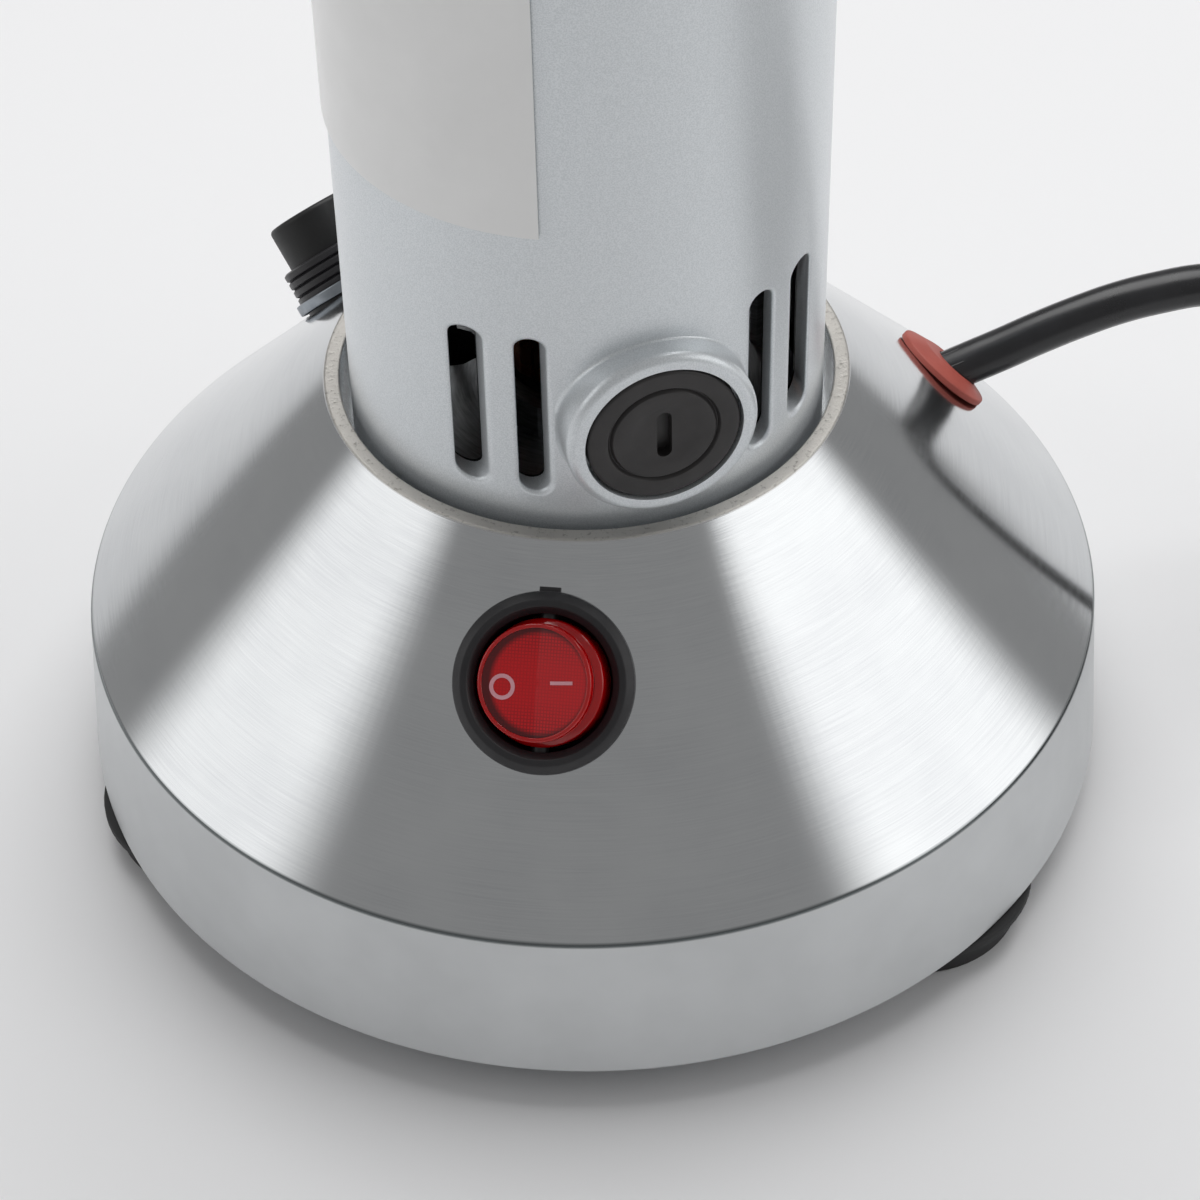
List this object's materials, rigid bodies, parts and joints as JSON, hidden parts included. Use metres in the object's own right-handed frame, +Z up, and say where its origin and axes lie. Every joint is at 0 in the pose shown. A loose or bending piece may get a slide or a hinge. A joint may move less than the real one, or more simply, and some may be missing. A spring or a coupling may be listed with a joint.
{
  "type": "electric spice grinder",
  "caption": "Countertop electric spice grinder with a polished conical cast base, silver motor column, steel grinding bowl with knobbed screw lid, rocker switch, reset button and mains cord.",
  "frame": {"origin": "motor axis on the surface that the grinder stands on, under the middle of the round base", "axes": "+Z up along the motor shaft; -Y towards the rocker switch, which is the front; +X to the right seen from the front"},
  "size_m": [0.3304, 0.1453, 0.2474],
  "materials": {
    "polished_aluminium": "turned and polished casting, fine circular brushing",
    "cast_aluminium": "as cast, machined seats",
    "silver_paint": "fine metallic silver paint",
    "stainless": "spun stainless steel, satin",
    "zinc_steel": "zinc-plated steel",
    "black_plastic": "moulded black plastic, satin",
    "black_button": "moulded black plastic",
    "phenolic": "turned dark brown-black phenolic",
    "red_rocker": "translucent red polycarbonate",
    "black_rubber": "moulded black rubber",
    "red_rubber": "moulded brick-red rubber",
    "black_vinyl": "near-black vinyl sheath, semi-gloss",
    "sticker": "bare grey-white printed film",
    "brass": "nickel-bright brass",
    "copper": "enamelled copper",
    "lamination": "stacked electrical steel",
    "carbon": "pressed carbon",
    "silicone": "moulded silicone",
    "lead_insulation": "brown insulated wire"
  },
  "bodies": {
    "root": {"base_shell": "polished_aluminium", "seat_plate": "cast_aluminium", "lower_bracket": "cast_aluminium", "motor_housing": "silver_paint", "grinding_bowl": "stainless", "bowl_screw_1": "stainless", "bowl_screw_2": "stainless", "bottom_plate": "zinc_steel", "foot_screw_1": "zinc_steel", "foot_screw_2": "zinc_steel", "foot_screw_3": "zinc_steel", "motor_bolt_1": "zinc_steel", "motor_bolt_2": "zinc_steel", "breaker_nut": "zinc_steel", "lower_bearing": "zinc_steel", "upper_bearing": "zinc_steel", "switch_housing": "black_plastic", "breaker_body": "black_plastic", "coil_tie": "black_plastic", "cord_clamp": "black_plastic", "brush_holder_1": "phenolic", "brush_holder_2": "phenolic", "rubber_foot_1": "black_rubber", "rubber_foot_2": "black_rubber", "rubber_foot_3": "black_rubber", "shaft_seal": "black_rubber", "cord_grommet": "red_rubber", "power_cord": "black_vinyl", "power_cord_coil": "black_vinyl", "plug_lead": "black_vinyl", "plug_body": "black_vinyl", "inner_cord": "black_vinyl", "rating_label": "sticker", "plug_pins": "brass", "field_coil_1": "copper", "field_coil_2": "copper", "stator_core": "lamination", "switch_lead": "lead_insulation", "motor_lead": "lead_insulation"},
    "rotor": {"motor_shaft": "stainless", "commutator": "copper", "rotor_core": "lamination", "rotor_winding": "copper", "cooling_fan": "black_plastic", "lower_blade": "stainless", "blade_spacer": "stainless", "upper_blade": "stainless", "blade_nut": "stainless"},
    "rocker": {"rocker": "red_rocker"},
    "reset_button": {"reset_button": "black_button"},
    "lid_seal": {"lid_gasket": "silicone"},
    "lid": {"lid": "stainless", "lid_knob": "phenolic", "lid_screw": "stainless"},
    "brush_1": {"carbon_brush_1": "carbon", "brush_spring_1": "zinc_steel"},
    "brush_cap_1": {"brush_cap_1": "phenolic"},
    "brush_2": {"carbon_brush_2": "carbon", "brush_spring_2": "zinc_steel"},
    "brush_cap_2": {"brush_cap_2": "phenolic"}
  },
  "joints": [
    {"name": "rotor_spin", "type": "hinge", "parent": "root", "child": "rotor", "pos_m": [0, 0, 0.1], "axis": [0, 0, 1], "continuous": true},
    {"name": "rocker_press", "type": "hinge", "parent": "root", "child": "rocker", "pos_m": [0, -0.04659, 0.05265], "axis": [0, 0.6912, 0.7226], "range_deg": [0, 23]},
    {"name": "reset_pop", "type": "slide", "parent": "root", "child": "reset_button", "axis": [-0.547, 0.4722, 0.6912], "range_m": [0, 0.0035]},
    {"name": "lid_lift", "type": "slide", "parent": "root", "child": "lid_seal", "axis": [0, 0, 1], "range_m": [0, 0.06]},
    {"name": "lid_turn", "type": "hinge", "parent": "lid_seal", "child": "lid", "pos_m": [0, 0, 0.22], "axis": [0, 0, 1], "range_deg": [0, 360]},
    {"name": "brush_1_withdraw", "type": "slide", "parent": "root", "child": "brush_1", "axis": [0.3955, -0.9184, 0], "range_m": [0, 0.03]},
    {"name": "brush_cap_1_turn", "type": "hinge", "parent": "brush_1", "child": "brush_cap_1", "pos_m": [0, 0, 0.0819], "axis": [0.3955, -0.9184, 0], "range_deg": [0, 360]},
    {"name": "brush_2_withdraw", "type": "slide", "parent": "root", "child": "brush_2", "axis": [-0.3955, 0.9184, 0], "range_m": [0, 0.03]},
    {"name": "brush_cap_2_turn", "type": "hinge", "parent": "brush_2", "child": "brush_cap_2", "pos_m": [0, 0, 0.0819], "axis": [-0.3955, 0.9184, 0], "range_deg": [0, 360]}
  ]
}
